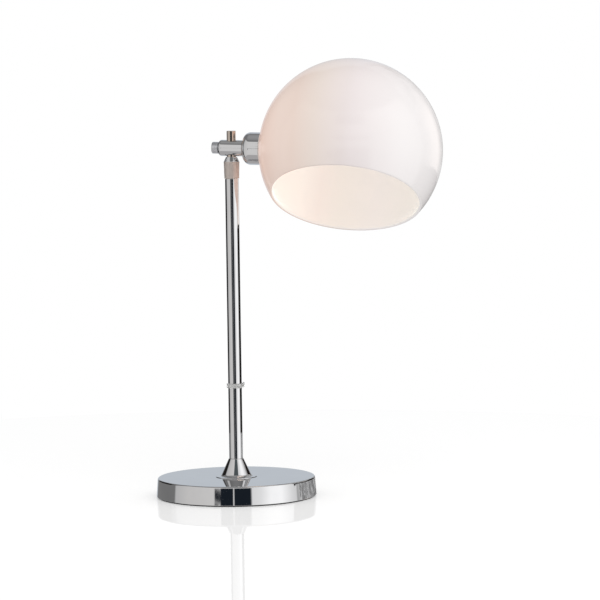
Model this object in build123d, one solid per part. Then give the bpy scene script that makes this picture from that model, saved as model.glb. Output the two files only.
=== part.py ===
from build123d import *
import math
import os

# Table lamp: an opal glass globe, open at one side, on a chromed arm that
# turns on a telescoping stem above a heavy round base. Millimetres, degrees.
# +Z up, the stem's axis is Z, the table is z = 0 and the globe lies towards +X.

# ---------------------------------------------------------------- base
base_top_d = 154.6        # cover, across its flat top
base_foot_d = 157.2       # cover, across the foot of its skirt
base_height = 19.3        # table to the cover's top
base_edge_r = 1.6         # rounding between top and skirt
cover_t = 1.2             # sheet of the cover
pad_t = 2.2               # foam pad under the weight
pad_proud = 1.2           # how far the pad stands below the skirt
recess_depth = 10.0       # pocket for nut and washer under the weight
# ---------------------------------------------------------------- foot cone
cone_h = 18.0
cone_top_d = 14.2
cone_foot_d = 30.4
lip_d = 40.6              # thin rim around the cone's foot
lip_t = 0.5
cone_relief = 1.5         # hollow under the cone, so that it sits on its rim
# ---------------------------------------------------------------- base fixing
stud_d = 8.0
nut_flats = 13.0
nut_h = 6.5
washer_d = 24.0
washer_t = 1.6
stud_end = 1.0            # stud that stands past the nut
insert_len = 22.0         # threaded plug in the tube's foot
# ---------------------------------------------------------------- stem
tube_d = 13.4
tube_wall = 1.1
tube_len = 274.4
rod_d = 8.9
rod_room = 8.25           # free under the pushed-in rod, above the plug in the tube's foot
rod_stub = 16.8           # rod above the arm's axis
rod_end_chamfer = 0.6
spigot_d = 6.0            # turned-down lower end of the rod
guide_len = 16.0          # guide bush on that end
end_screw_d = 9.0
end_screw_h = 2.4
# ---------------------------------------------------------------- collet and collar
collet_shank_len = 24.0   # part of the collet inside the tube
thread_d = 11.8           # collet's thread, which the collar runs on
thread_len = 11.0
collet_cone_h = 6.0
collet_tip_d = 10.2
slot_w = 0.8
slot_count = 4
collar_foot_d = 14.4
collar_d = 15.4
collar_body_h = 16.4
collar_cone_h = 4.8
collar_top_d = 10.8
# ---------------------------------------------------------------- cord clip
clip_z = 109.0            # its middle, above the table
clip_h = 4.3
clip_wall = 1.3
clip_mouth = 9.0          # gap through which it snaps on the tube
eyelet_bore_d = 6.2       # loop for the cord
eyelet_wall = 1.0
eyelet_mouth = 2.4
eyelet_angle = 74.0       # the loop's side of the tube, from +X towards +Y
# ---------------------------------------------------------------- arm
head_droop = 2.0          # the arm hangs this far below square with the rod
head_gap = 0.7            # collar to clamp block
block_d = 15.7
block_back = 12.3         # rod's axis to the block's free end
block_front = 11.7        # rod's axis to the block's end at the cup
block_end_r = 3.0
screw_d = 5.0             # thumb screw's thread
thumb_d = 11.4
thumb_len = 6.4
thumb_gap = 0.4           # groove between thumb screw and block
thumb_end_r = 1.2
slug_len = 2.6
pivot_d = 6.0
pivot_depth = 4.6         # pivot screw in the block
pivot_head_d = 11.0
pivot_head_h = 3.0
fibre_t = 0.5             # fibre washer between block and cup
spring_t = 0.8            # spring washer under the pivot screw's head
spring_d = 12.0
# ---------------------------------------------------------------- cup
cup_d = 31.7
cup_back_d = 17.2         # flat back of the cup
cup_shoulder = 7.5        # length of its round shoulder
cup_len = 17.36
cup_wall = 1.1
ring_t = 0.8              # snap ring that keeps the lampholder in the cup
ring_grip = 0.5           # its depth in the cup's groove
ring_back = 1.1           # cup wall left in front of the groove
inlet_angle = 117.0       # cord inlet, from the globe's mouth about the arm
cord_bore_d = 5.4
grommet_wall = 0.8
grommet_lip = 0.7         # how far its lips reach past its neck
grommet_lip_t = 1.1
# ---------------------------------------------------------------- lampholder (small screw cap)
sleeve_d = 26.0           # threaded sleeve for the shade ring
holder_len = 43.0
holder_back_d = 21.0
flange_t = 1.0
mouth_d = 17.0            # mouth of the lampholder
mouth_depth = 29.0
shell_d = 15.2            # threaded metal shell
shell_t = 0.5
shell_len = 20.0
shell_back = 4.0          # shell's foot above the mouth's floor
terminal_d = 3.2
terminal_h = 1.6
contact_w = 5.0
contact_t = 0.5
contact_rise = 3.0
# ---------------------------------------------------------------- globe
globe_d = 178.6
glass_t = 3.0
mouth_offset = 51.0       # globe's centre to the plane of its open mouth
shade_turn = 27.0         # mouth turned from straight down towards the front
glass_hole_d = 27.6
gasket_t = 0.6            # outer gasket at its outer edge
liner_t = 0.8             # inner gasket under the shade ring
shade_ring_d = 38.0
shade_ring_w = 5.0
# ---------------------------------------------------------------- bulb (small tubular)
cap_d = 13.8
cap_len = 22.0
bulb_d = 25.0
bulb_len = 60.0           # glass beyond the cap
bulb_neck_d = 13.0
bulb_neck_len = 14.0
bulb_glass_t = 0.8
button_d = 5.0            # contact at the cap's foot
button_h = 1.4
# ---------------------------------------------------------------- fits
fit = 0.05                # radial clearance of a fixed or running fit
thread_gap = 0.10         # radial clearance of a screwed pair
float_gap = 0.30          # free gap between pieces that move past each other
face_gap = 0.15           # gap between faces that turn on each other

# ---------------------------------------------------------------- heights and radii that follow
cover_top = base_height
skirt_z = pad_proud
weight_bottom = pad_t
weight_top = cover_top - cover_t
tube_foot = cover_top + cone_h
tube_top = tube_foot + tube_len
tube_r = tube_d / 2
bore_r = tube_r - tube_wall
rod_r = rod_d / 2
collar_z = tube_top + float_gap
collar_top = collar_z + collar_body_h + collar_cone_h
head_z = collar_top + head_gap + block_d / 2
cup_back = block_front + fibre_t
cup_rim = cup_back + cup_len
cup_r = cup_d / 2
cup_bore_r = cup_r - cup_wall
globe_r = globe_d / 2
globe_in_r = globe_r - glass_t
globe_z = cup_rim + gasket_t + math.sqrt(globe_r**2 - cup_r**2)
screw_r = screw_d / 2
slug_face = rod_r + face_gap
slug_back = slug_face + slug_len
ring_front = cup_rim - ring_back
flange_front = ring_front - ring_t
holder_back = flange_front - flange_t - (holder_len - mouth_depth - 6.0)
sleeve_end = holder_back + holder_len
mouth_floor = sleeve_end - mouth_depth
shell_foot = mouth_floor + shell_back
cap_foot = shell_foot + button_h + 0.6
rod_foot = tube_foot + insert_len + rod_room + end_screw_h


def turned(*points):
    """A solid turned about Z from (radius, height) corners."""
    section = Polyline(*points, close=True)
    return revolve(Plane.XZ * make_face(section), Axis.Z)


def rod_between(radius, low, high):
    """A plain cylinder about Z between two heights."""
    return Pos(0, 0, low) * Cylinder(
        radius, high - low, align=(Align.CENTER, Align.CENTER, Align.MIN)
    )


def ring_between(inner, outer, low, high):
    """A plain ring about Z between two heights."""
    return rod_between(outer, low, high) - rod_between(inner, low, high)


# ================================================================ base
def skirt_radius(z):
    """The cover's outer radius at a height: its skirt flares towards the table."""
    share = (cover_top - z) / (cover_top - skirt_z)
    return (base_top_d + (base_foot_d - base_top_d) * share) / 2


def base_cover():
    outer = turned(
        (0, skirt_z), (base_foot_d / 2, skirt_z), (base_top_d / 2, cover_top), (0, cover_top)
    )
    outer = fillet(outer.edges().group_by(Axis.Z)[-1], base_edge_r)
    inner = turned(
        (0, skirt_z - 1),
        (skirt_radius(skirt_z - 1) - cover_t, skirt_z - 1),
        (skirt_radius(weight_top) - cover_t, weight_top),
        (0, weight_top),
    )
    hole = rod_between(stud_d / 2 + fit, weight_top - 1, cover_top + 1)
    return outer - inner - hole


def base_weight():
    wall = cover_t + float_gap
    body = turned(
        (0, weight_bottom),
        (skirt_radius(weight_bottom) - wall, weight_bottom),
        (skirt_radius(weight_top) - wall, weight_top),
        (0, weight_top),
    )
    body = chamfer(body.edges().group_by(Axis.Z)[-1], base_edge_r / 2)
    pocket = rod_between(washer_d / 2 + 1, weight_bottom - 1, weight_bottom + recess_depth)
    hole = rod_between(stud_d / 2 + float_gap, weight_bottom, weight_top + 1)
    return body - pocket - hole


def base_pad():
    edge = skirt_radius(pad_t) - cover_t - 2 * float_gap
    pad = rod_between(edge, 0, pad_t)
    return chamfer(pad.edges().group_by(Axis.Z)[0], 0.3)


def washer_face():
    """Height of the washer's lower face in the weight's pocket."""
    return weight_bottom + recess_depth - washer_t


def base_washer():
    return ring_between(stud_d / 2 + float_gap, washer_d / 2, washer_face(), washer_face() + washer_t)


def base_nut():
    across_corners = nut_flats / math.cos(math.radians(30))
    prism = extrude(RegularPolygon(across_corners / 2, 6), nut_h)
    crown = turned(
        (0, 0), (nut_flats / 2, 0), (across_corners / 2, 0.8), (across_corners / 2, nut_h), (0, nut_h)
    )
    nut = (prism & crown) - rod_between(stud_d / 2 + fit, -1, nut_h + 1)
    return Pos(0, 0, washer_face() - nut_h) * nut


def base_stud():
    low = washer_face() - nut_h - stud_end
    stud = rod_between(stud_d / 2, low, tube_foot + insert_len - 2)
    return chamfer(stud.edges().filter_by(GeomType.CIRCLE), 0.8)


def foot_cone():
    shape = turned(
        (0, cover_top),
        (lip_d / 2, cover_top),
        (lip_d / 2, cover_top + lip_t),
        (cone_foot_d / 2, cover_top + lip_t),
        (cone_top_d / 2, tube_foot),
        (0, tube_foot),
    )
    shape = chamfer(shape.edges().group_by(Axis.Z)[-1], 0.5)
    relief = rod_between(cone_foot_d / 2 - 3, cover_top - 1, cover_top + cone_relief)
    return shape - relief - rod_between(stud_d / 2 + fit, cover_top, tube_foot + 1)


# ================================================================ stem
def stem_tube():
    tube = ring_between(bore_r, tube_r, tube_foot, tube_top)
    return chamfer(tube.edges().group_by(Axis.Z)[-1], 0.25)


def tube_insert():
    plug = ring_between(stud_d / 2 + fit, bore_r - fit, tube_foot, tube_foot + insert_len)
    return chamfer(plug.edges().group_by(Axis.Z)[-1], 0.4)


def collet():
    """Split bush: its shank sits in the tube, its slotted cone grips the rod."""
    cone_z = tube_top + thread_len
    tip_z = cone_z + collet_cone_h
    body = turned(
        (0, tube_top - collet_shank_len),
        (bore_r - fit, tube_top - collet_shank_len),
        (bore_r - fit, tube_top),
        (thread_d / 2, tube_top),
        (thread_d / 2, cone_z),
        (collet_tip_d / 2, tip_z),
        (0, tip_z),
    )
    body -= rod_between(rod_r + fit, tube_top - collet_shank_len - 1, tip_z + 1)
    slot_h = collet_cone_h + thread_len * 0.6
    slot = Pos(0, 0, tip_z) * Box(
        thread_d, slot_w, slot_h, align=(Align.MIN, Align.CENTER, Align.MAX)
    )
    for i in range(slot_count):
        body -= Rot(0, 0, (i + 0.5) * 360 / slot_count) * slot
    return body


def clamp_collar():
    """Nut over the collet: its inner cone closes the collet as it is screwed down."""
    body_top = collar_z + collar_body_h
    outer = turned(
        (0, collar_z),
        (collar_foot_d / 2, collar_z),
        (collar_d / 2, body_top),
        (collar_top_d / 2, collar_top),
        (0, collar_top),
    )
    cone_z = tube_top + thread_len + face_gap
    bore = thread_d / 2 + thread_gap
    eye = rod_r + float_gap
    slope = (thread_d - collet_tip_d) / 2 / collet_cone_h
    eye_z = cone_z + (bore - eye) / slope
    inner = turned(
        (0, collar_z - 1), (bore, collar_z - 1), (bore, cone_z), (eye, eye_z), (eye, collar_top + 1),
        (0, collar_top + 1),
    )
    return outer - inner


def inner_rod():
    top = head_z + rod_stub
    shoulder = rod_foot + guide_len
    rod = turned(
        (0, rod_foot),
        (spigot_d / 2, rod_foot),
        (spigot_d / 2, shoulder),
        (rod_r, shoulder),
        (rod_r, top),
        (0, top),
    )
    return chamfer(rod.edges().group_by(Axis.Z)[-1], rod_end_chamfer)


def rod_guide():
    ring = ring_between(spigot_d / 2 + fit, bore_r - 2 * fit, rod_foot, rod_foot + guide_len)
    return chamfer(ring.edges().group_by(Axis.Z)[0], 0.4)


def rod_end_screw():
    head = rod_between(end_screw_d / 2, rod_foot - end_screw_h, rod_foot)
    head = chamfer(head.edges().group_by(Axis.Z)[0], 0.5)
    slot = Pos(0, 0, rod_foot - end_screw_h) * Box(end_screw_d, 1.2, 1.8)
    return head - slot


def cord_clip():
    """Snap ring on the tube with a small open loop beside it for the cord."""
    ring_in = tube_r + fit
    ring_out = ring_in + clip_wall
    eye_r = eyelet_bore_d / 2
    centre = ring_out + eye_r
    ring = ring_between(ring_in, ring_out, 0, clip_h)
    eyelet = rod_between(eye_r + eyelet_wall, 0, clip_h)
    blank = ring + Pos(centre, 0, 0) * eyelet - rod_between(ring_in, -1, clip_h + 1)
    mouth = Box(ring_out + 1, clip_mouth, 4 * clip_h, align=(Align.MAX, Align.CENTER, Align.CENTER))
    way_in = Pos(centre, 0, 0) * Box(
        centre, eyelet_mouth, 4 * clip_h, align=(Align.MIN, Align.CENTER, Align.CENTER)
    )
    clip = blank - mouth - way_in - Pos(centre, 0, 0) * rod_between(eye_r, -1, clip_h + 1)
    return Pos(0, 0, clip_z - clip_h / 2) * Rot(0, 0, eyelet_angle) * clip


# ================================================================ arm
# Arm pieces are made about Z and laid over: their Z becomes the arm's axis,
# pointing from the rod to the globe, their X points down and their Y to the rear.
arm = Pos(0, 0, head_z) * Rot(0, 90 + head_droop, 0)
shade = arm * Rot(0, 0, -shade_turn)


def clamp_block():
    body = rod_between(block_d / 2, -block_back, block_front)
    body = fillet(body.edges().group_by(Axis.Z)[0], block_end_r)
    body = chamfer(body.edges().group_by(Axis.Z)[-1], 0.4)
    body -= rod_between(screw_r + thread_gap, -block_back - 1, 0)
    body -= rod_between(pivot_d / 2 + fit, block_front - pivot_depth - 0.6, block_front + 1)
    bore = Pos(0, 0, head_z) * Cylinder(rod_r + fit, 2 * block_d)
    return arm * body - bore


def thumb_screw():
    neck = -block_back - thumb_gap
    head = rod_between(thumb_d / 2, neck - thumb_len, neck)
    head = fillet(head.edges().group_by(Axis.Z)[0], thumb_end_r)
    head = chamfer(head.edges().group_by(Axis.Z)[-1], 0.3)
    shank = rod_between(screw_r, neck, -slug_back - face_gap)
    return arm * (head + shank)


def clamp_slug():
    return arm * rod_between(screw_r - fit, -slug_back, -slug_face)


def fibre_washer():
    return arm * ring_between(
        pivot_d / 2 + float_gap, cup_back_d / 2 - 0.6, block_front, cup_back - face_gap
    )


def spring_seat():
    """Where the cup's back ends and its spring washer begins."""
    return cup_back + cup_wall + face_gap


def spring_washer():
    """Dished washer that presses the cup on the block."""
    dish = spring_t / 2
    low = spring_seat()
    inner, outer = pivot_d / 2 + float_gap, spring_d / 2
    return arm * turned((inner, low + dish), (outer, low), (outer, low + dish), (inner, low + spring_t))


def pivot_screw():
    face = spring_seat() + spring_t
    shank = rod_between(pivot_d / 2, block_front - pivot_depth, face)
    head = rod_between(pivot_head_d / 2, face, face + pivot_head_h)
    head = chamfer(head.edges().group_by(Axis.Z)[-1], 0.5)
    slot = Pos(0, 0, face + pivot_head_h) * Box(pivot_head_d, 1.4, 2.4)
    return arm * (shank + head - slot)


# ================================================================ cup and lampholder
def cup_form(step):
    """The cup's outer form, or its inner form one wall inside it."""
    drop = cup_r - cup_back_d / 2
    shoulder_r = (drop**2 + cup_shoulder**2) / (2 * drop)
    centre_r = cup_r - shoulder_r
    centre_z = cup_back + cup_shoulder
    radius = shoulder_r - step
    low = cup_back + step
    back_r = centre_r + math.sqrt(radius**2 - (centre_z - low) ** 2)
    half = math.acos((back_r - centre_r) / radius) / 2
    middle = (centre_r + radius * math.cos(half), centre_z - radius * math.sin(half))
    high = cup_rim + step
    section = (
        Line((0, low), (back_r, low))
        + ThreePointArc((back_r, low), middle, (cup_r - step, centre_z))
        + Polyline((cup_r - step, centre_z), (cup_r - step, high), (0, high), (0, low))
    )
    return revolve(Plane.XZ * make_face(section), Axis.Z)


def inlet_place():
    """The cord inlet's frame: its Z points out of the cup, just behind the lampholder's flange."""
    lip_r = cord_bore_d / 2 + grommet_wall + grommet_lip
    height = flange_front - flange_t - float_gap - lip_r
    return Rot(0, 0, inlet_angle) * Pos(0, 0, height) * Rot(0, 90, 0)


def socket_cup():
    cup = cup_form(0) - cup_form(cup_wall)
    cup -= rod_between(pivot_d / 2 + fit, cup_back - 1, cup_back + 2 * cup_wall)
    cup -= rod_between(cup_bore_r + ring_grip, flange_front, ring_front)
    neck = cord_bore_d / 2 + grommet_wall + fit
    cup -= inlet_place() * rod_between(neck, cup_bore_r / 2, cup_d)
    return shade * cup


def cord_grommet():
    """Bush in the cup's wall, with saddle-shaped lips inside and outside."""
    neck = cord_bore_d / 2 + grommet_wall
    lips = rod_between(neck + grommet_lip, cup_bore_r / 2, cup_d)
    low, high = cup_back, cup_rim + cup_len
    outside = ring_between(cup_r + fit, cup_r + fit + grommet_lip_t, low, high)
    inside = ring_between(cup_bore_r - float_gap - grommet_lip_t, cup_bore_r - float_gap, low, high)
    through = ring_between(
        cup_bore_r - float_gap - grommet_lip_t, cup_r + fit + grommet_lip_t, low, high
    )
    place = inlet_place()
    body = (place * lips) & (outside + inside)
    body += (place * rod_between(neck, cup_bore_r / 2, cup_d)) & through
    body -= place * rod_between(cord_bore_d / 2, 0, 2 * cup_d)
    return shade * body


def snap_ring():
    ring = ring_between(
        sleeve_d / 2 + fit, cup_bore_r + ring_grip - fit, flange_front, ring_front
    )
    gap = Box(2 * cup_r, 5, 4 * cup_len, align=(Align.MIN, Align.CENTER, Align.MIN))
    return shade * (ring - gap)


def terminal_seat():
    """Distance of the terminals' flats from the arm's axis."""
    return holder_back_d / 2 - 0.8


def terminal_places():
    height = (holder_back + flange_front - flange_t) / 2
    return [
        Rot(0, 0, inlet_angle + side * 90) * Pos(0, 0, height) * Rot(0, 90, 0) for side in (-1, 1)
    ]


def holder_body():
    """Moulded lampholder: back, flange that sits in the cup, threaded sleeve."""
    body = turned(
        (0, holder_back),
        (holder_back_d / 2, holder_back),
        (holder_back_d / 2, flange_front - flange_t),
        (cup_bore_r - float_gap, flange_front - flange_t),
        (cup_bore_r - float_gap, flange_front),
        (sleeve_d / 2, flange_front),
        (sleeve_d / 2, sleeve_end),
        (0, sleeve_end),
    )
    body = chamfer(body.edges().group_by(Axis.Z)[-1], 0.8)
    body -= rod_between(mouth_d / 2, mouth_floor, sleeve_end + 1)
    for place in terminal_places():
        body -= place * rod_between(terminal_d / 2 + 0.8, terminal_seat(), cup_r)
    return shade * body


def thread_shell():
    outer = shell_d / 2
    shell = ring_between(outer - shell_t, outer, shell_foot, shell_foot + shell_len)
    foot = ring_between(outer - 2.5, mouth_d / 2 - fit, mouth_floor, mouth_floor + shell_t)
    wall = ring_between(outer - shell_t, outer, mouth_floor, shell_foot)
    return shade * (shell + foot + wall)


def centre_contact():
    """Springy strip on the mouth's floor that meets the bulb's button."""
    reach = shell_d / 2 - 3.2
    top = cap_foot - button_h - 0.2
    path = Polyline(
        (-reach, mouth_floor), (reach, mouth_floor), (reach, mouth_floor + contact_t),
        (0.4 * reach, mouth_floor + contact_t), (-0.2 * reach, top),
        (-0.8 * reach, top - 0.6), (-0.8 * reach, top - 0.6 - contact_t),
        (-0.2 * reach, top - contact_t), (0.25 * reach, mouth_floor + contact_t),
        (-reach, mouth_floor + contact_t), close=True
    )
    return shade * extrude(Plane.XZ * make_face(path), contact_w / 2, both=True)


def terminal_screws():
    """Two screw heads on flats at the lampholder's sides, square to the cord inlet."""
    top = terminal_seat() + terminal_h
    head = chamfer(rod_between(terminal_d / 2, terminal_seat(), top).edges().group_by(Axis.Z)[-1], 0.3)
    head -= Pos(0, 0, top) * Box(terminal_d, 0.6, 1.0)
    return shade * Compound(children=[place * head for place in terminal_places()])


# ================================================================ globe
def glass_globe():
    """Blown sphere cut at its mouth; the cut edge is polished round."""
    lip_r = glass_t / 2
    middle_r = globe_r - lip_r
    lip_angle = math.acos(mouth_offset / middle_r)
    turn = math.asin(lip_r / middle_r)

    def at(radius, angle):
        return (radius * math.sin(angle), -radius * math.cos(angle))

    start = lip_angle + turn
    half = (math.pi + start) / 2
    section = (
        ThreePointArc((0, globe_r), at(globe_r, half), at(globe_r, start))
        + ThreePointArc(at(globe_r, start), at(middle_r, lip_angle), at(globe_in_r, start))
        + ThreePointArc(at(globe_in_r, start), at(globe_in_r, half), (0, globe_in_r))
        + Line((0, globe_in_r), (0, globe_r))
    )
    glass = revolve(Plane.XZ * make_face(section), Axis.Z)
    glass = Pos(0, 0, globe_z) * Rot(0, -90, 0) * glass
    return shade * (glass - rod_between(glass_hole_d / 2, 0, globe_z))


def outer_gasket():
    ring = ring_between(glass_hole_d / 2 + float_gap, cup_r, cup_rim, globe_z)
    return shade * (ring - Pos(0, 0, globe_z) * Sphere(globe_r + fit))


def inner_gasket():
    ring = ring_between(glass_hole_d / 2, shade_ring_d / 2, cup_rim, globe_z)
    place = Pos(0, 0, globe_z)
    ring &= place * Sphere(globe_in_r - fit)
    return shade * (ring - place * Sphere(globe_in_r - liner_t))


def shade_ring():
    back = globe_z - math.sqrt((globe_in_r - liner_t) ** 2 - (shade_ring_d / 2) ** 2)
    front = back + shade_ring_w
    ring = ring_between(sleeve_d / 2 + thread_gap, shade_ring_d / 2, cup_rim, front)
    ring &= Pos(0, 0, globe_z) * Sphere(globe_in_r - liner_t - fit)
    grips = 12
    dent = Pos(shade_ring_d / 2, 0, front) * Cylinder(1.2, 2 * (shade_ring_w - 1.6))
    for i in range(grips):
        ring -= Rot(0, 0, i * 360 / grips) * dent
    return shade * ring


# ================================================================ bulb
def bulb_cap():
    top = cap_foot + cap_len
    cap = turned(
        (0, cap_foot), (button_d / 2, cap_foot), (cap_d / 2, cap_foot + 3), (cap_d / 2, top), (0, top)
    )
    return shade * cap


def bulb_button():
    button = rod_between(button_d / 2 - 0.6, cap_foot - button_h, cap_foot)
    return shade * chamfer(button.edges().group_by(Axis.Z)[0], 0.5)


def bulb_glass():
    """Tubular envelope with a round end, thin-walled and closed by the cap."""
    foot = cap_foot + cap_len
    round_z = foot + bulb_len - bulb_d / 2

    def envelope(step):
        neck, wide = bulb_neck_d / 2 - step, bulb_d / 2 - step
        half = wide * math.sqrt(0.5)
        outline = (
            Polyline((neck, foot), (wide, foot + bulb_neck_len), (wide, round_z))
            + ThreePointArc((wide, round_z), (half, round_z + half), (0, round_z + wide))
            + Polyline((0, round_z + wide), (0, foot), (neck, foot))
        )
        return revolve(Plane.XZ * make_face(outline), Axis.Z)

    return shade * (envelope(0) - envelope(bulb_glass_t))


pieces = [
    base_cover, base_weight, base_pad, base_washer, base_nut, base_stud, foot_cone,
    stem_tube, tube_insert, collet, clamp_collar, inner_rod, rod_guide, rod_end_screw,
    cord_clip, clamp_block, thumb_screw, clamp_slug, fibre_washer, spring_washer,
    pivot_screw, socket_cup, cord_grommet, snap_ring, holder_body, thread_shell,
    centre_contact, terminal_screws, glass_globe, outer_gasket, inner_gasket,
    shade_ring, bulb_cap, bulb_button, bulb_glass,
]

os.makedirs("parts", exist_ok=True)
for piece in pieces:
    export_step(piece(), f"parts/{piece.__name__}.step")
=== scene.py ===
import math

import bmesh
import bpy
from mathutils import Matrix, Vector


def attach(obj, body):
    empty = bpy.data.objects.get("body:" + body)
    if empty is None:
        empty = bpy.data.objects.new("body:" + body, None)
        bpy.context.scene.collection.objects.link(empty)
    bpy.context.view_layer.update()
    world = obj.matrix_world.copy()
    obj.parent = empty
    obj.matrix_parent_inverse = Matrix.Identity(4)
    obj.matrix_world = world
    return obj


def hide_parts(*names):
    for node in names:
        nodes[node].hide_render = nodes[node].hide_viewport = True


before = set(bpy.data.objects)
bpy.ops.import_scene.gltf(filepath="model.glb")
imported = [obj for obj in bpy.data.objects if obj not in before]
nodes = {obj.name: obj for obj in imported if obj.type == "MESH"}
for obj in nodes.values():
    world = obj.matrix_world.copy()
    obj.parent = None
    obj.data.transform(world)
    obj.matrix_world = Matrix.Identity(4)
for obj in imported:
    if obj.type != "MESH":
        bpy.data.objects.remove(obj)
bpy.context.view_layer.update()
MM = 0.001


# ---------------------------------------------------------------- camera
# The photograph is taken from the lamp's right front, a little above half its
# height, through a long lens that is tipped slightly down and a hair off level.
scene = bpy.context.scene
cam_azimuth = math.radians(12.178)
cam_height = 343.91 * MM
cam_distance = 2454.4 * MM
cam_yaw = math.radians(1.517)
cam_pitch = math.radians(3.538)
cam_roll = math.radians(0.793)

level = Vector((-math.sin(cam_azimuth), math.cos(cam_azimuth), 0))
side = Vector((math.cos(cam_azimuth), math.sin(cam_azimuth), 0))
ahead = level * math.cos(cam_yaw) + side * math.sin(cam_yaw)
right = side * math.cos(cam_yaw) - level * math.sin(cam_yaw)
up = ahead * math.sin(cam_pitch) + Vector((0, 0, math.cos(cam_pitch)))
ahead = ahead * math.cos(cam_pitch) - Vector((0, 0, math.sin(cam_pitch)))
cam_x = right * math.cos(cam_roll) - up * math.sin(cam_roll)
cam_y = up * math.cos(cam_roll) + right * math.sin(cam_roll)
turn = Matrix((cam_x, cam_y, -ahead)).transposed().to_4x4()

camera_data = bpy.data.cameras.new("camera")
camera_data.sensor_width = 36.0
camera_data.lens = camera_data.sensor_width * 2508.495 / 600
camera = bpy.data.objects.new("camera", camera_data)
camera.matrix_world = Matrix.Translation(
    (math.sin(cam_azimuth) * cam_distance, -math.cos(cam_azimuth) * cam_distance, cam_height)
) @ turn
scene.collection.objects.link(camera)
scene.camera = camera


# ---------------------------------------------------------------- studio
# A white studio: the background is plain white, and metal mirrors what stands
# about the lamp there: grey walls, a window, dark flags and a dark ceiling.
scene.view_settings.view_transform = "Standard"
world = bpy.data.worlds.new("studio")
scene.world = world
world.use_nodes = True
world.cycles.sampling_method = "NONE"
room = world.node_tree
room.nodes.clear()


def add(tree, kind, **values):
    """A node of that kind, with its plain properties set by name."""
    node = tree.nodes.new(kind)
    for name, value in values.items():
        setattr(node, name, value)
    return node


def join(tree, source, *targets):
    """Links one output socket to each input socket given."""
    for target in targets:
        tree.links.new(source, target)


def math_node(tree, operation, first, second=None):
    """A Math node on sockets or numbers, and its output."""
    node = add(tree, "ShaderNodeMath", operation=operation)
    for socket, value in zip(node.inputs, (first, second)):
        if isinstance(value, (int, float)):
            socket.default_value = value
        elif value is not None:
            join(tree, value, socket)
    return node.outputs[0]


def ramp(tree, factor, stops, interpolation="LINEAR"):
    """A Color Ramp from (place, colour) stops, and its output."""
    node = add(tree, "ShaderNodeValToRGB")
    node.color_ramp.interpolation = interpolation
    elements = node.color_ramp.elements
    while len(elements) < len(stops):
        elements.new(0.5)
    for element, (place, colour) in zip(elements, stops):
        element.position = place
        grey = isinstance(colour, (int, float))
        element.color = (colour, colour, colour, 1) if grey else (*colour, 1)
    join(tree, factor, node.inputs[0])
    return node.outputs[0]


def blend_colour(tree, factor, first, second):
    """A colour Mix node on sockets or colours, and its output."""
    node = add(tree, "ShaderNodeMix", data_type="RGBA")
    for socket, value in ((node.inputs[0], factor), (node.inputs[6], first), (node.inputs[7], second)):
        if isinstance(value, (int, float)):
            socket.default_value = value
        elif isinstance(value, tuple):
            socket.default_value = (*value, 1)
        else:
            join(tree, value, socket)
    return node.outputs[2]


# Round the room, in degrees from the camera towards its right, and how bright
# each stretch of it is. The flags are 1 where they hang, with a slit between
# them, and the split flag is the low one's lower part, with a slit of its own.
backdrop = (0.535, 0.575, 0.623)
walls = [
    (-180, backdrop), (-164, backdrop), (-160, 0.20), (-101, 0.19), (-98, 0.54), (-75, (0.63, 0.62, 0.61)),
    (-30, (0.69, 0.68, 0.67)), (22.5, 0.82), (35, 0.88), (50, 1.12), (68, 1.13), (86, 0.84), (96, 0.74),
    (98.5, 0.34), (167, 0.34), (171, backdrop), (180, backdrop),
]
flags = [(-23.5, 0), (-22.5, 1), (-5.0, 1), (-4.6, 0), (-3.4, 0), (-3.0, 1), (20.5, 1), (22.0, 0)]
upper_flags = [(-25.0, 0), (-22.5, 1), (17.0, 1), (20.0, 0)]
low_flag = [(-32.5, 0), (-31.5, 1), (-22.1, 1), (-20.0, 0)]
split_flag = [
    (-32.5, 0), (-31.5, 1), (-26.5, 1), (-25.7, 0), (-22.9, 0), (-22.1, 1), (-21.0, 1), (-20.0, 0),
]


def round_room(stops):
    """A Color Ramp round the room from (degrees, colour) stops."""
    return ramp(room, round_share, [(0.5 + degrees / 360, colour) for degrees, colour in stops])


look = add(room, "ShaderNodeTexCoord").outputs["Generated"]
to_camera = add(room, "ShaderNodeVectorMath", operation="DOT_PRODUCT")
to_right = add(room, "ShaderNodeVectorMath", operation="DOT_PRODUCT")
to_camera.inputs[1].default_value = -level
to_right.inputs[1].default_value = side
join(room, look, to_camera.inputs[0], to_right.inputs[0])
angle = math_node(room, "ARCTAN2", to_right.outputs["Value"], to_camera.outputs["Value"])
round_share = math_node(room, "ADD", math_node(room, "MULTIPLY", angle, 0.5 / math.pi), 0.5)
wall_colour = round_room(walls)
height = add(room, "ShaderNodeSeparateXYZ")
join(room, look, height.inputs[0])
up_share = math_node(room, "ADD", math_node(room, "MULTIPLY", height.outputs["Z"], 0.5), 0.5)


def up_room(stops):
    """A Color Ramp from the floor to the ceiling, from (height, colour) stops, -1 to 1."""
    return ramp(room, up_share, [(0.5 + 0.5 * z, colour) for z, colour in stops])


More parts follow.
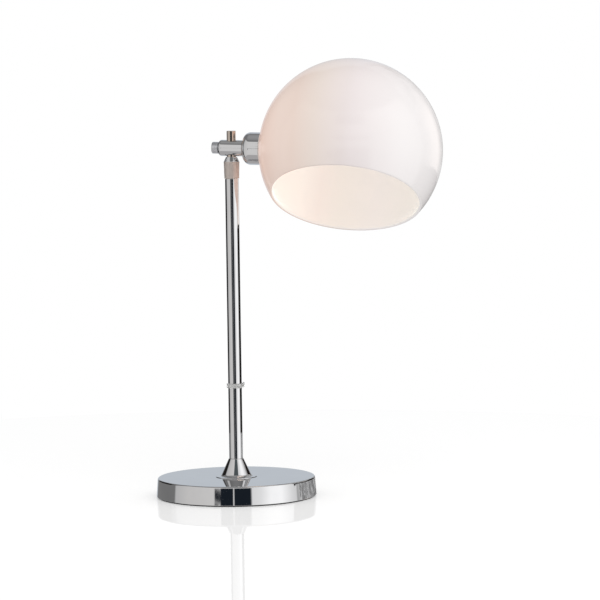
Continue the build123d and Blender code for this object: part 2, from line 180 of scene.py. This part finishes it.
# The window wall behind the lamp's right side is broken up by what stands there,
# and a tall window in it, with a thin curtain, shines on the glass.
clutter = add(room, "ShaderNodeTexNoise")
clutter.inputs["Scale"].default_value = 9.0
clutter.inputs["Detail"].default_value = 6.0
clutter.inputs["Distortion"].default_value = 1.6
join(room, look, clutter.inputs["Vector"])
clutter_level = ramp(room, clutter.outputs["Fac"], [(0.40, 0.35), (0.50, 1.0), (0.62, 1.7)])
cluttered = add(room, "ShaderNodeMix", data_type="RGBA", blend_type="MULTIPLY")
join(room, round_room([(98, 0.0), (100, 1.0), (164, 1.0), (168, 0.0)]), cluttered.inputs[0])
join(room, wall_colour, cluttered.inputs[6])
join(room, clutter_level, cluttered.inputs[7])
window_where = math_node(
    room, "MULTIPLY", round_room([(104, 0.0), (122, 1.0), (136, 1.0), (150, 0.0)]),
    up_room([(-0.50, 0.0), (-0.42, 1.0), (0.26, 1.0), (0.54, 0.0)])
)
windowed = blend_colour(room, window_where, cluttered.outputs[2], (1.2, 1.1, 1.04))

# The dark flags stand in front of it, with others hung above them. The dark ceiling
# starts at 48 degrees and is lighter right overhead. Below the table's edge is its
# top. A low flag stands beside them.
flag_where = math_node(room, "MULTIPLY", round_room(flags), up_room([
    (0.06, 1.0), (0.09, 0.0), (0.225, 0.0), (0.24, 1.0), (0.30, 1.0), (0.315, 0.0),
]))
upper_where = math_node(
    room, "MULTIPLY", round_room(upper_flags), up_room([(0.52, 0.0), (0.57, 1.0), (0.70, 1.0), (0.73, 0.0)])
)
low_where = math_node(
    room, "MAXIMUM",
    math_node(
        room, "MULTIPLY", round_room(split_flag),
        up_room([(-0.17, 0.0), (-0.15, 1.0), (-0.008, 1.0), (-0.006, 0.0)])
    ),
    math_node(
        room, "MULTIPLY", round_room(low_flag),
        up_room([(-0.008, 0.0), (-0.006, 1.0), (0.012, 1.0), (0.016, 0.0)])
    )
)
flagged = blend_colour(
    room, math_node(room, "MAXIMUM", flag_where, low_where),
    blend_colour(room, upper_where, windowed, (0.085, 0.10, 0.105)), (0.011, 0.015, 0.021)
)
roofed = blend_colour(
    room, up_room([(0.735, 0.0), (0.765, 1.0)]), flagged, up_room([(0.74, 0.15), (1.0, 0.33)])
)
studio_colour = blend_colour(room, up_room([(-0.71, 1.0), (-0.68, 0.0)]), roofed, (0.44, 0.43, 0.43))

# Matt surfaces get an even light, metal and glass mirror the room, and straight
# sight, sight through glass and the floor's true mirror image meet plain white.
ray = add(room, "ShaderNodeLightPath")
soft_light = add(room, "ShaderNodeBackground")
soft_light.inputs["Color"].default_value = (0.84, 0.84, 0.84, 1)
reflected = add(room, "ShaderNodeBackground")
join(room, studio_colour, reflected.inputs["Color"])
white = add(room, "ShaderNodeBackground")
white.inputs["Color"].default_value = (1, 1, 1, 1)
in_floor = math_node(room, "MULTIPLY", ray.outputs["Is Glossy Ray"], ray.outputs["Is Singular Ray"])
seen_by_metal = add(room, "ShaderNodeMixShader")
seen_direct = add(room, "ShaderNodeMixShader")
join(room, ray.outputs["Is Glossy Ray"], seen_by_metal.inputs[0])
join(room, soft_light.outputs[0], seen_by_metal.inputs[1])
join(room, reflected.outputs[0], seen_by_metal.inputs[2])
direct = math_node(room, "MAXIMUM", ray.outputs["Is Camera Ray"], ray.outputs["Is Transmission Ray"])
join(room, math_node(room, "MAXIMUM", direct, in_floor), seen_direct.inputs[0])
join(room, seen_by_metal.outputs[0], seen_direct.inputs[1])
join(room, white.outputs[0], seen_direct.inputs[2])
join(room, seen_direct.outputs[0], add(room, "ShaderNodeOutputWorld").inputs["Surface"])

# One soft box above the lamp's front gives the light its direction.
box_light = bpy.data.lights.new("soft_box", "AREA")
box_light.shape = "RECTANGLE"
box_light.size = 1.1
box_light.size_y = 0.9
box_light.energy = 4.0
box = bpy.data.objects.new("soft_box", box_light)
box_aim = Vector((0.55, -0.95, 1.05)).to_track_quat("Z", "Y").to_matrix().to_4x4()
box.matrix_world = Matrix.Translation((0.65, -0.95, 1.35)) @ box_aim
box.visible_glossy = False
scene.collection.objects.link(box)


# Dark curved cards stand behind the lamp on either side. Metal that stands upright
# sees them, and so gets its dark edges; the camera and the floor's mirror don't.
# Below the table's edge on the right is the lit pattern that the base's rim shows.
def card_paint(name):
    """A glowing paint for a card, and its Emission node."""
    paint = bpy.data.materials.new(name)
    paint.use_nodes = True
    tree = paint.node_tree
    tree.nodes.clear()
    tone = add(tree, "ShaderNodeEmission")
    unseen = add(tree, "ShaderNodeBsdfTransparent")
    surface = add(tree, "ShaderNodeMixShader")
    join(tree, add(tree, "ShaderNodeLightPath").outputs["Is Singular Ray"], surface.inputs[0])
    join(tree, tone.outputs[0], surface.inputs[1])
    join(tree, unseen.outputs[0], surface.inputs[2])
    join(tree, surface.outputs[0], add(tree, "ShaderNodeOutputMaterial").inputs["Surface"])
    return paint, tone


card_radius = 0.55
dark_paint, dark_tone = card_paint("dark_card")
dark_tone.inputs["Color"].default_value = (0.016, 0.014, 0.013, 1)
streaky_paint, streaky_tone = card_paint("streaky_card")
tree = streaky_paint.node_tree
where = add(tree, "ShaderNodeTexCoord")
strokes = add(tree, "ShaderNodeTexNoise")
strokes.inputs["Scale"].default_value = 16.0
strokes.inputs["Distortion"].default_value = 2.5
join(tree, where.outputs["Object"], strokes.inputs["Vector"])
stroke_tone = ramp(tree, strokes.outputs["Fac"], [
    (0.40, 0.10), (0.49, 0.24), (0.53, 0.85), (0.57, 0.20), (0.68, 0.42),
])
join(tree, stroke_tone, streaky_tone.inputs["Color"])
for name, paint, first, last, foot, top in (
    ("left_card", dark_paint, -146, -103, 0, 0.33),
    ("right_card", dark_paint, 86, 150, 0, 0.25),
    ("low_card", streaky_paint, 97, 168, -0.14, 0),
):
    bm = bmesh.new()
    start = Matrix.Rotation(math.radians(first), 4, "Z") @ (-level * card_radius)
    posts = [bm.verts.new(start + Vector((0, 0, z))) for z in (foot, top)]
    bmesh.ops.spin(
        bm, geom=posts + [bm.edges.new(posts)], cent=(0, 0, 0), axis=(0, 0, 1),
        angle=math.radians(last - first), steps=24
    )
    mesh = bpy.data.meshes.new(name)
    bm.to_mesh(mesh)
    bm.free()
    mesh.materials.append(paint)
    card = bpy.data.objects.new(name, mesh)
    scene.collection.objects.link(card)
    card.visible_camera = False
    card.visible_diffuse = False
    card.visible_transmission = False
    card.visible_shadow = False


# ---------------------------------------------------------------- floor
# A white, slightly glossy table top: it carries a faint mirror image of the
# lamp and its soft shadow, and melts into the white background.
floor_radius = 0.8
bm = bmesh.new()
bmesh.ops.create_circle(bm, cap_ends=True, segments=128, radius=floor_radius)
floor_mesh = bpy.data.meshes.new("floor")
bm.to_mesh(floor_mesh)
bm.free()
floor = bpy.data.objects.new("floor", floor_mesh)
scene.collection.objects.link(floor)
floor.visible_glossy = False

table = bpy.data.materials.new("table_top")
table.use_nodes = True
tree = table.node_tree
tree.nodes.clear()
ray = add(tree, "ShaderNodeLightPath")
matt = add(tree, "ShaderNodeBsdfDiffuse")
matt.inputs["Color"].default_value = (0.80, 0.80, 0.80, 1)
lift = add(tree, "ShaderNodeEmission")
join(tree, math_node(tree, "MULTIPLY", ray.outputs["Is Camera Ray"], 0.35), lift.inputs["Strength"])
body = add(tree, "ShaderNodeAddShader")
join(tree, matt.outputs[0], body.inputs[0])
join(tree, lift.outputs[0], body.inputs[1])
gloss = add(tree, "ShaderNodeBsdfGlossy")
gloss.inputs["Roughness"].default_value = 0.0
sheen = add(tree, "ShaderNodeMixShader")
join(tree, math_node(tree, "MULTIPLY", ray.outputs["Is Camera Ray"], 0.25), sheen.inputs[0])
join(tree, body.outputs[0], sheen.inputs[1])
join(tree, gloss.outputs[0], sheen.inputs[2])
join(tree, sheen.outputs[0], add(tree, "ShaderNodeOutputMaterial").inputs["Surface"])
floor_mesh.materials.append(table)


# ---------------------------------------------------------------- base cover
# Pressed steel lid with a slightly flared skirt, polished and chromed, held
# down on the weight by the stem's stud. Its edges are the metal's own rounding.
def finish(name, tones, roughness, grain, bump=0.0, stretch=(1, 1, 1), metallic=0.0, detail=4.0):
    """A finish from two tones and a range of roughness, broken up by a grain of so many per metre."""
    material = bpy.data.materials.new(name)
    material.use_nodes = True
    tree = material.node_tree
    shader = tree.nodes["Principled BSDF"]
    shader.inputs["Metallic"].default_value = metallic
    where = add(tree, "ShaderNodeTexCoord")
    fit = add(tree, "ShaderNodeMapping")
    fit.inputs["Scale"].default_value = stretch
    noise = add(tree, "ShaderNodeTexNoise")
    noise.inputs["Scale"].default_value = grain
    noise.inputs["Detail"].default_value = detail
    join(tree, where.outputs["Object"], fit.inputs["Vector"])
    join(tree, fit.outputs["Vector"], noise.inputs["Vector"])
    mottle = ramp(tree, noise.outputs["Fac"], [(0.35, tones[0]), (0.65, tones[1])])
    join(tree, mottle, shader.inputs["Base Color"])
    polish = add(tree, "ShaderNodeMapRange")
    polish.inputs["From Min"].default_value = 0.3
    polish.inputs["From Max"].default_value = 0.7
    polish.inputs["To Min"].default_value = roughness[0]
    polish.inputs["To Max"].default_value = roughness[1]
    join(tree, noise.outputs["Fac"], polish.inputs["Value"])
    join(tree, polish.outputs["Result"], shader.inputs["Roughness"])
    if bump:
        relief = add(tree, "ShaderNodeBump")
        relief.inputs["Strength"].default_value = 1.0
        relief.inputs["Distance"].default_value = bump
        join(tree, noise.outputs["Fac"], relief.inputs["Height"])
        join(tree, relief.outputs["Normal"], shader.inputs["Normal"])
    return material


def outline(bm, corners, closed=True, segments=5):
    """An outline in the XZ plane through (radius, height, rounding) corners, in millimetres."""
    points = [bm.verts.new((c[0] * MM, 0, c[1] * MM)) for c in corners]
    pairs = list(zip(points, points[1:]))
    if closed:
        pairs.append((points[-1], points[0]))
    for pair in pairs:
        bm.edges.new(pair)
    for point, corner in zip(points, corners):
        if len(corner) == 3:
            bmesh.ops.bevel(
                bm, geom=[point], affect="VERTICES", offset=corner[2] * MM, segments=segments,
                profile=0.5, material=-1
            )


def spin_round(bm, steps):
    """Spins everything drawn so far about Z into one closed skin that faces outwards."""
    bmesh.ops.spin(
        bm, geom=bm.verts[:] + bm.edges[:], cent=(0, 0, 0), axis=(0, 0, 1), angle=2 * math.pi,
        steps=steps, use_merge=True
    )
    bmesh.ops.remove_doubles(bm, verts=bm.verts[:], dist=1e-6)
    bmesh.ops.recalc_face_normals(bm, faces=bm.faces[:])


def piece(bm, name, material, slot, body, *stands_for, place=Matrix(), sharp=38):
    """Makes the mesh an object in its place, shades it, hangs it on its body and hides the CAD nodes it
    stands for.
    """
    bmesh.ops.transform(bm, matrix=place, verts=bm.verts[:])
    for face in bm.faces:
        face.smooth = True
    for edge in bm.edges:
        edge.smooth = edge.calc_face_angle(0) < math.radians(sharp)
    mesh = bpy.data.meshes.new(name)
    bm.to_mesh(mesh)
    bm.free()
    mesh.materials.append(material)
    made = bpy.data.objects.new(name, mesh)
    scene.collection.objects.link(made)
    evened = made.modifiers.new("even_shading", "WEIGHTED_NORMAL")
    evened.keep_sharp = True
    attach(made, body)
    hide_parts(*stands_for)
    return made


chrome = finish(
    "polished_chrome", ((0.78, 0.78, 0.79), (0.81, 0.81, 0.82)), (0.015, 0.045), 60, metallic=1.0
)

bm = bmesh.new()
outline(bm, [
    (4.05, 19.3, 0.2), (77.3, 19.3, 1.6), (78.6, 1.2, 0.45), (77.4, 1.2, 0.4), (76.186, 18.1, 0.8),
    (4.05, 18.1),
])
spin_round(bm, 192)
piece(bm, "cover_shell", chrome, "chrome", "base", "base_cover")


# ---------------------------------------------------------------- base weight and pad
# The cast iron disc under the cover gives the lamp its stand, and a black foam
# pad glued under it keeps it off the table. The pad stands just below the skirt.
foam = finish(
    "foam_rubber", ((0.012, 0.012, 0.013), (0.030, 0.030, 0.031)), (0.75, 0.95), 1400, bump=0.0002
)
bm = bmesh.new()
outline(bm, [(0, 0), (76.728, 0, 0.35), (76.728, 2.2, 0.2), (0, 2.2)], closed=False)
spin_round(bm, 128)
piece(bm, "foam_pad", foam, "foam_rubber", "base", "base_pad")

iron = finish("cast_iron", ((0.035, 0.035, 0.036), (0.075, 0.072, 0.07)), (0.55, 0.8), 420, bump=0.0003)
nodes["base_weight"].material_slots[0].material = iron


# ---------------------------------------------------------------- base fixing
# A zinc plated stud, nut and washer in the weight's pocket pull the stem, its
# foot cone and the cover down together; a brass plug in the tube takes the stud.
zinc = finish(
    "zinc_plate", ((0.44, 0.44, 0.45), (0.58, 0.58, 0.60)), (0.28, 0.42), 500, bump=0.00002, metallic=1.0
)
brass = finish(
    "turned_brass", ((0.60, 0.44, 0.19), (0.74, 0.57, 0.28)), (0.22, 0.36), 300, bump=0.00002,
    stretch=(0.3, 0.3, 6), metallic=1.0
)
for name in ("base_washer", "base_nut", "base_stud"):
    nodes[name].material_slots[0].material = zinc
nodes["tube_insert"].material_slots[0].material = brass


# ---------------------------------------------------------------- foot cone
# Turned and chromed cone with a thin rim, hollowed below so that it seats on
# its edge. The stem stands on it.
bm = bmesh.new()
outline(bm, [
    (4.05, 20.8), (12.2, 20.8), (12.2, 19.3), (20.3, 19.3, 0.15), (20.3, 19.8, 0.3), (15.2, 19.8, 2.4),
    (7.1, 37.3, 0.5), (4.05, 37.3),
])
spin_round(bm, 96)
piece(bm, "cone_foot", chrome, "chrome", "base", "foot_cone")


# ---------------------------------------------------------------- stem
# Chromed tube in which the thinner rod slides, with a nylon guide bush on the
# rod's lower end. The rod, plated warmer and darker, comes out through the collet.
bm = bmesh.new()
outline(bm, [(5.6, 37.3), (6.7, 37.3, 0.15), (6.7, 311.7, 0.25), (5.6, 311.7, 0.2)])
spin_round(bm, 64)
piece(bm, "outer_tube", chrome, "chrome", "base", "stem_tube")

bm = bmesh.new()
outline(bm, [
    (0, 69.95), (3.0, 69.95), (3.0, 85.95), (4.45, 85.95, 0.2), (4.45, 358.55, 0.6), (0, 358.55),
], closed=False)
spin_round(bm, 48)
dark_nickel = finish(
    "dark_nickel", ((0.63, 0.55, 0.48), (0.66, 0.58, 0.51)), (0.05, 0.09), 80, metallic=1.0
)
piece(bm, "sliding_rod", dark_nickel, "chrome", "rod", "inner_rod")

nylon = finish("nylon", ((0.74, 0.73, 0.69), (0.80, 0.79, 0.75)), (0.35, 0.5), 250)
nodes["rod_guide"].material_slots[0].material = nylon
nodes["rod_end_screw"].material_slots[0].material = brass


# ---------------------------------------------------------------- collet and collar
# The slotted collet, nickel plated brass, is screwed in the tube's top. The collar over it is
# steel with a fine diamond knurl and a polished cone, and closes it on the rod.
nickel = finish(
    "nickel_plate", ((0.60, 0.57, 0.52), (0.68, 0.65, 0.60)), (0.14, 0.24), 300, metallic=1.0
)
nodes["collet"].material_slots[0].material = nickel

satin = finish(
    "satin_steel", ((0.76, 0.69, 0.645), (0.90, 0.82, 0.77)), (0.60, 0.70), 900,
    stretch=(1, 1, 0.15), metallic=1.0
)
knurl_count = 52
knurl_low = 313.0
knurl_high = 327.6
knurl_depth = 0.11
knurl_cuts = 68
cone_foot_z = 328.5

bm = bmesh.new()
outline(bm, [
    (6.0, 312.0), (7.2, 312.0, 0.25), (7.7, 328.4, 0.5), (5.4, 333.2, 0.4), (4.75, 333.2), (4.75, 332.22),
    (6.0, 322.85),
])
walls_of_body = [
    e for e in bm.edges if e.calc_length() > 14 * MM and min(v.co.x for v in e.verts) > 6.5 * MM
]
bmesh.ops.subdivide_edges(bm, edges=walls_of_body, cuts=knurl_cuts)
spin_round(bm, 4 * knurl_count)
knurl_pitch = 2 * math.pi * 7.45 / knurl_count
for vert in bm.verts:
    radius = math.hypot(vert.co.x, vert.co.y)
    z = vert.co.z / MM
    if radius > 6.5 * MM and knurl_low < z < knurl_high:
        across = math.atan2(vert.co.y, vert.co.x) / (2 * math.pi) * knurl_count
        along = (z - knurl_low) / knurl_pitch
        ridges = [abs(2 * ((t + 0.5) % 1.0) - 1) for t in (across + along, across - along)]
        inward = knurl_depth * MM * max(1 - r for r in ridges) ** 0.8
        vert.co.x *= 1 - inward / radius
        vert.co.y *= 1 - inward / radius
collar = piece(bm, "collar_nut", satin, "satin_steel", "collar", "clamp_collar", sharp=70)
collar.data.materials.append(chrome)
for face in collar.data.polygons:
    if face.center.z > cone_foot_z * MM:
        face.material_index = 1


# ---------------------------------------------------------------- cord clip
# Clear moulded snap ring, closed across the tube's front and open at the rear,
# beside its small open loop for a cord. Its edges are moulded round.
def dressed(node, name, material, slot, body, rounding):
    """The CAD node's own shape with its sharp edges rounded, in millimetres."""
    bm = bmesh.new()
    bm.from_mesh(nodes[node].data)
    bmesh.ops.remove_doubles(bm, verts=bm.verts[:], dist=2e-6)
    bmesh.ops.dissolve_limit(bm, angle_limit=math.radians(1), verts=bm.verts[:], edges=bm.edges[:])
    corners = [e for e in bm.edges if e.calc_face_angle(0) > math.radians(40)]
    bmesh.ops.bevel(
        bm, geom=corners, affect="EDGES", offset=rounding * MM, segments=2, profile=0.5, material=-1,
        clamp_overlap=True
    )
    return piece(bm, name, material, slot, body, node)


def arc(centre, radius, first, last, steps):
    """Points of an arc in the XY plane, its centre on X, in millimetres and degrees."""
    turns = [math.radians(first + (last - first) * i / steps) for i in range(steps + 1)]
    return [(centre + radius * math.cos(t), radius * math.sin(t)) for t in turns]


clear = finish("clear_plastic", ((0.86, 0.86, 0.85), (0.88, 0.88, 0.87)), (0.20, 0.26), 300)
clear_shader = clear.node_tree.nodes["Principled BSDF"]
clear_shader.inputs["Transmission Weight"].default_value = 0.68
clear_shader.inputs["IOR"].default_value = 1.49

ring_in = 6.75
ring_out = 8.05
loop_in = 3.1
loop_out = 4.1
loop_x = ring_out + loop_in
clip_low = 106.85
clip_height = 4.3
clip_turn = math.radians(74)
ring_meets = math.degrees(math.acos((ring_out**2 + loop_x**2 - loop_out**2) / (2 * ring_out * loop_x)))
loop_meets = math.degrees(math.acos((loop_out**2 + loop_x**2 - ring_out**2) / (2 * loop_out * loop_x)))
rim = (
    arc(0, ring_out, 118, 360 - ring_meets, 48)
    + arc(loop_x, loop_out, 180 + loop_meets, 343, 18)
    + arc(loop_x, loop_in, 337, 23, 40)
    + arc(loop_x, loop_out, 17, 180 - loop_meets, 18)
    + arc(0, ring_out, ring_meets, 34, 4)
    + arc(0, ring_in, 34, -242, 60)
)
bm = bmesh.new()
floor_of_clip = bm.faces.new([bm.verts.new((x * MM, y * MM, clip_low * MM)) for x, y in rim])
raised = bmesh.ops.extrude_face_region(bm, geom=[floor_of_clip])["geom"]
upper = [item for item in raised if isinstance(item, bmesh.types.BMVert)]
bmesh.ops.translate(bm, verts=upper, vec=(0, 0, clip_height * MM))
bmesh.ops.recalc_face_normals(bm, faces=bm.faces[:])
corners = [e for e in bm.edges if e.calc_face_angle(0) > math.radians(40)]
bmesh.ops.bevel(
    bm, geom=corners, affect="EDGES", offset=0.25 * MM, segments=2, profile=0.5, material=-1,
    clamp_overlap=True
)
piece(
    bm, "snap_clip", clear, "clear_plastic", "base", "cord_clip",
    place=Matrix.Rotation(clip_turn, 4, "Z")
)


# ---------------------------------------------------------------- clamp block
# Chromed bar that is bored for the rod and lies across it. The thumb screw
# enters its free end, and the pivot screw of the cup its other end.
head_z = 341.75
arm_pitch = math.radians(92)
arm = Matrix.Translation((0, 0, head_z * MM)) @ Matrix.Rotation(arm_pitch, 4, "Y")


def drilled(bm, radius, length, place):
    """Cuts a round hole, its middle at that place, through the mesh."""
    tool = bmesh.new()
    bmesh.ops.create_cone(
        tool, cap_ends=True, segments=64, radius1=radius * MM, radius2=radius * MM, depth=length * MM,
        matrix=place
    )
    pair = []
    for drawn in (bm, tool):
        mesh = bpy.data.meshes.new("drilling")
        drawn.to_mesh(mesh)
        drawn.free()
        pair.append(bpy.data.objects.new("drilling", mesh))
        scene.collection.objects.link(pair[-1])
    cut = pair[0].modifiers.new("hole", "BOOLEAN")
    cut.object = pair[1]
    cut.solver = "EXACT"
    shaped = bpy.data.meshes.new_from_object(pair[0].evaluated_get(bpy.context.evaluated_depsgraph_get()))
    result = bmesh.new()
    result.from_mesh(shaped)
    bpy.data.meshes.remove(shaped)
    for made in pair:
        bpy.data.meshes.remove(made.data)
    return result


bm = bmesh.new()
outline(bm, [
    (0, 0), (2.6, 0), (2.6, -12.3, 0.2), (7.85, -12.3, 3.0), (7.85, 11.7, 0.4), (3.05, 11.7, 0.1),
    (3.05, 6.5), (0, 6.5),
], closed=False, segments=8)
spin_round(bm, 96)
bm = drilled(bm, 4.5, 40, Matrix.Rotation(-arm_pitch, 4, "Y"))
piece(bm, "cross_block", chrome, "chrome", "arm", "clamp_block", place=arm)

fibre = finish("pressed_fibre", ((0.10, 0.05, 0.03), (0.22, 0.13, 0.08)), (0.6, 0.8), 1500, bump=0.00005)
nodes["fibre_washer"].material_slots[0].material = fibre
for name in ("spring_washer", "pivot_screw"):
    nodes[name].material_slots[0].material = zinc
nodes["clamp_slug"].material_slots[0].material = brass


# ---------------------------------------------------------------- thumb screw
# Turned steel, satin all over, with a rounded end. It presses the brass slug
# on the rod.
bm = bmesh.new()
outline(bm, [
    (0, -19.1), (5.7, -19.1, 1.2), (5.7, -12.7, 0.3), (2.5, -12.7), (2.5, -7.35, 0.3), (0, -7.35),
], closed=False)
spin_round(bm, 96)
fine_satin = finish(
    "fine_satin", ((0.80, 0.81, 0.84), (0.85, 0.86, 0.89)), (0.36, 0.42), 700, metallic=1.0
)
piece(bm, "thumb_knob", fine_satin, "satin_steel", "thumb", "thumb_screw", place=arm)


# ---------------------------------------------------------------- cup
# Spun and chromed cup round the lampholder. It turns on the pivot screw and
# carries the glass; the cord enters through a rubber bush at its rear.
shade_turn = 27
shade = arm @ Matrix.Rotation(math.radians(-shade_turn), 4, "Z")
inlet = (
    Matrix.Rotation(math.radians(90 + shade_turn), 4, "Z")
    @ Matrix.Translation((0, 0, 22.16 * MM))
    @ Matrix.Rotation(math.radians(90), 4, "Y")
)
bm = bmesh.new()
outline(bm, [
    (3.05, 12.2, 0.1), (15.85, 12.2, 7.5), (15.85, 29.56, 0.3), (14.75, 29.56, 0.2), (14.75, 28.46),
    (15.25, 28.46), (15.25, 27.66), (14.75, 27.66), (14.75, 13.3, 6.4), (3.05, 13.3),
], segments=12)
spin_round(bm, 128)
bm = drilled(bm, 3.55, 12, inlet @ Matrix.Translation((0, 0, 15.25 * MM)))
piece(bm, "chrome_cup", chrome, "chrome", "shade", "socket_cup", place=shade)

rubber = finish(
    "black_rubber", ((0.018, 0.018, 0.019), (0.035, 0.035, 0.036)), (0.5, 0.65), 800, bump=0.00003
)
dressed("cord_grommet", "cord_bush", rubber, "black_plastic", "shade", 0.2)
nodes["snap_ring"].material_slots[0].material = zinc


# ---------------------------------------------------------------- lampholder
# Black moulded lampholder with a threaded sleeve through the glass, a brass
# shell for the bulb's cap, a springy centre contact and two terminals.
moulded = finish(
    "moulded_black", ((0.020, 0.020, 0.021), (0.032, 0.032, 0.033)), (0.32, 0.46), 1200, bump=0.00002
)
bm = bmesh.new()
thread = []
for i in range(11):
    thread += [(13.0, 37.5 + 2 * i, 0.3), (12.45, 38.5 + 2 * i, 0.3)]
outline(bm, [
    (0, 18.66), (10.5, 18.66, 0.5), (10.5, 26.66), (14.45, 26.66, 0.2), (14.45, 27.66, 0.2), (13.0, 27.66),
    (13.0, 36.1), *thread, (12.9, 61.66, 0.8), (8.5, 61.66, 0.4), (8.5, 32.66), (0, 32.66),
], closed=False, segments=2)
spin_round(bm, 64)
piece(bm, "holder_moulding", moulded, "black_plastic", "shade", "holder_body", place=shade)
for name in ("thread_shell", "centre_contact", "terminal_screws"):
    nodes[name].material_slots[0].material = brass


# ---------------------------------------------------------------- glass globe
# Blown opal glass, cased white and glossy on both sides, cut at an angle for
# its mouth with the edge polished round. Its base colour is painted peach near the
# neck as painted warm light from the bulb, and its emission is a painted glow:
# warm near the neck, stronger on the inside, and a painted lift far from the neck.
globe_z = 118.042
globe_r = 89.3
glass_t = 3.0
mouth_offset = 51.0
glow_reach = 0.18

middle_r = globe_r - glass_t / 2
reach_angle = math.pi - math.acos(mouth_offset / middle_r) - math.asin(glass_t / 2 / middle_r)


def sweep(bm, vert, centre, angle, steps):
    """Draws an arc from that vertex about a centre in the XZ plane, and gives its end."""
    drawn = bmesh.ops.spin(
        bm, geom=[vert], cent=centre, axis=(0, 1, 0), angle=angle, steps=steps, use_merge=False
    )
    return [item for item in drawn["geom_last"] if isinstance(item, bmesh.types.BMVert)][0]


bm = bmesh.new()
end = sweep(bm, bm.verts.new((0, 0, globe_r * MM)), (0, 0, 0), reach_angle, 84)
lip = (middle_r * math.sin(reach_angle) * MM, 0, middle_r * math.cos(reach_angle) * MM)
end = sweep(bm, end, lip, math.pi, 10)
sweep(bm, end, (0, 0, 0), -reach_angle, 84)
spin_round(bm, 160)
globe_place = Matrix.Translation((0, 0, globe_z * MM)) @ Matrix.Rotation(math.radians(-90), 4, "Y")
bmesh.ops.transform(bm, matrix=globe_place, verts=bm.verts[:])
bm = drilled(bm, 13.8, 60, Matrix.Translation((0, 0, 30 * MM)))

opal = bpy.data.materials.new("opal_glass")
opal.use_nodes = True
tree = opal.node_tree
shader = tree.nodes["Principled BSDF"]
shader.inputs["Roughness"].default_value = 0.14
shader.inputs["IOR"].default_value = 1.5
where = add(tree, "ShaderNodeTexCoord")
middle = shade @ Vector((0, 0, globe_z * MM))
neck = shade @ Vector((0, 0, 30 * MM))
from_neck = add(tree, "ShaderNodeVectorMath", operation="DISTANCE")
from_neck.inputs[1].default_value = neck
join(tree, where.outputs["Object"], from_neck.inputs[0])
distance = math_node(tree, "DIVIDE", from_neck.outputs["Value"], glow_reach)
# Painted warm light: the base colour is painted peach near the neck, where the lit bulb would warm the
# glass, and whiter further off. The swirl is the glass's own clouding.
tone = ramp(tree, distance, [
    (0.20, (0.88, 0.73, 0.65)), (0.40, (0.86, 0.74, 0.675)), (0.50, (0.82, 0.69, 0.625)),
    (0.60, (0.815, 0.73, 0.675)), (0.75, (0.85, 0.79, 0.79)), (0.90, (0.88, 0.85, 0.85)),
])
swirl = add(tree, "ShaderNodeTexNoise")
swirl.inputs["Scale"].default_value = 26
swirl.inputs["Detail"].default_value = 3
join(tree, where.outputs["Object"], swirl.inputs["Vector"])
swirl_tone = ramp(tree, swirl.outputs["Fac"], [(0.3, 0.985), (0.7, 1.0)])
clouds_and_painted_warmth = add(tree, "ShaderNodeMix", data_type="RGBA", blend_type="MULTIPLY")
clouds_and_painted_warmth.inputs[0].default_value = 1.0
join(tree, tone, clouds_and_painted_warmth.inputs[6])
join(tree, swirl_tone, clouds_and_painted_warmth.inputs[7])
join(tree, clouds_and_painted_warmth.outputs[2], shader.inputs["Base Color"])
# Painted glow: the emission stands in for the bulb's light through the glass, warm near the neck. A painted
# lift far from the neck stands in for light from the table and window, and the inside is painted brighter
# still.
painted_glow = ramp(tree, distance, [
    (0.2, (0.17, 0.08, 0.055)), (0.5, (0.075, 0.045, 0.03)), (0.72, (0.03, 0.015, 0.01)),
    (1.0, (0.13, 0.125, 0.12)),
])
painted_inner_glow = ramp(tree, distance, [
    (0.2, (0.34, 0.37, 0.36)), (0.5, (0.235, 0.255, 0.265)), (0.85, (0.125, 0.14, 0.125)),
])
from_middle = add(tree, "ShaderNodeVectorMath", operation="DISTANCE")
from_middle.inputs[1].default_value = middle
join(tree, where.outputs["Object"], from_middle.inputs[0])
inside = math_node(tree, "LESS_THAN", from_middle.outputs["Value"], (globe_r - glass_t / 2) * MM)
join(tree, blend_colour(tree, inside, painted_glow, painted_inner_glow), shader.inputs["Emission Color"])
shader.inputs["Emission Strength"].default_value = 1.0
piece(bm, "opal_globe", opal, "opal_glass", "shade", "glass_globe", place=shade)


# ---------------------------------------------------------------- gaskets and shade ring
# Two silicone rings cushion the glass between the cup's rim and the black
# moulded ring that is screwed on the lampholder's sleeve.
silicone = finish("silicone", ((0.66, 0.64, 0.60), (0.74, 0.72, 0.68)), (0.4, 0.55), 400)
for name in ("outer_gasket", "inner_gasket"):
    nodes[name].material_slots[0].material = silicone
dressed("shade_ring", "grip_ring", moulded, "black_plastic", "shade", 0.25)


# ---------------------------------------------------------------- bulb
# Small tubular bulb with a frosted envelope, cemented in a nickel plated screw
# cap. It is lit, so its glass glows warm.
bm = bmesh.new()
turns = []
for i in range(6):
    turns += [(6.9, 43.86 + 2.7 * i, 0.5), (6.35, 45.21 + 2.7 * i, 0.5)]
outline(bm, [
    (0, 38.66), (2.5, 38.66), (6.6, 41.86, 0.4), *turns, (6.9, 60.06, 0.3), (6.9, 60.66), (0, 60.66),
], closed=False, segments=3)
spin_round(bm, 64)
piece(bm, "screw_cap", nickel, "nickel", "shade", "bulb_cap", place=shade)
nodes["bulb_button"].material_slots[0].material = brass

frosted = finish("frosted_glass", ((0.86, 0.84, 0.80), (0.90, 0.88, 0.84)), (0.35, 0.45), 500)
frosted_shader = frosted.node_tree.nodes["Principled BSDF"]
frosted_shader.inputs["Emission Color"].default_value = (1.0, 0.80, 0.58, 1)
frosted_shader.inputs["Emission Strength"].default_value = 1.2
bm = bmesh.new()
outline(bm, [
    (0, 120.66), (12.5, 120.66, 12.45), (12.5, 74.66, 3.0), (6.5, 60.66, 0.8), (0, 60.66),
], closed=False, segments=16)
spin_round(bm, 64)
piece(bm, "bulb_envelope", frosted, "bulb_glass", "shade", "bulb_glass", place=shade)
